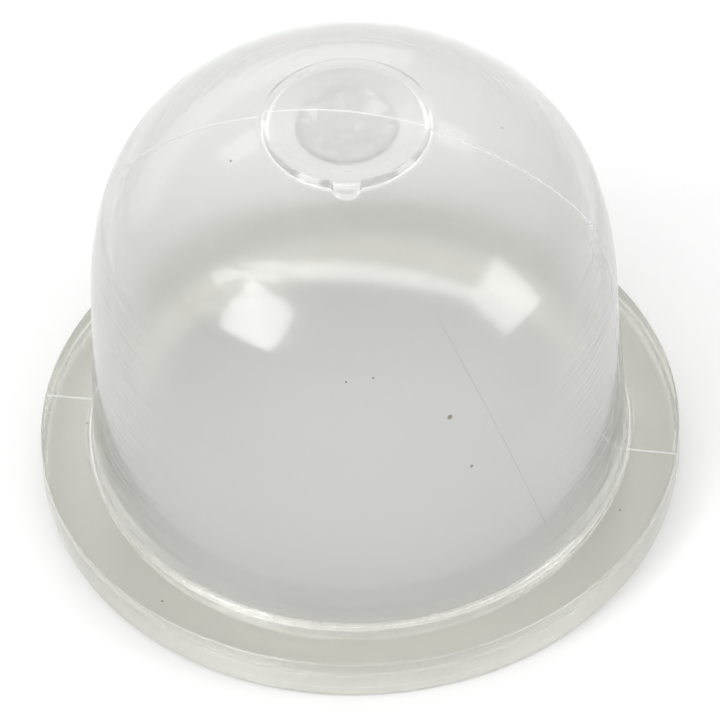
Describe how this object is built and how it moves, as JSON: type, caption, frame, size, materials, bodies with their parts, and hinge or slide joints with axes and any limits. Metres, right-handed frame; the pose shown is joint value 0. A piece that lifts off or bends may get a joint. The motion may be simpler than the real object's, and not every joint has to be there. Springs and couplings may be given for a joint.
{
  "type": "primer bulb",
  "caption": "Clear hollow dome with a round flange, open underneath, pressed with a thumb to draw fuel into a small engine's carburettor.",
  "frame": {"origin": "middle of the flange's flat underside", "axes": "+Z along the dome's axis, from the flange to the crown; the mould's parting line lies 10.5 degrees clockwise of +X seen from above; the small tab at the crown's pad faces -Y"},
  "size_m": [0.022, 0.022, 0.0176],
  "materials": {
    "clear_rubber": "clear, slightly milky flexible plastic, glossy with a satin inside"
  },
  "bodies": {
    "root": {"bulb": "clear_rubber"}
  },
  "joints": []
}
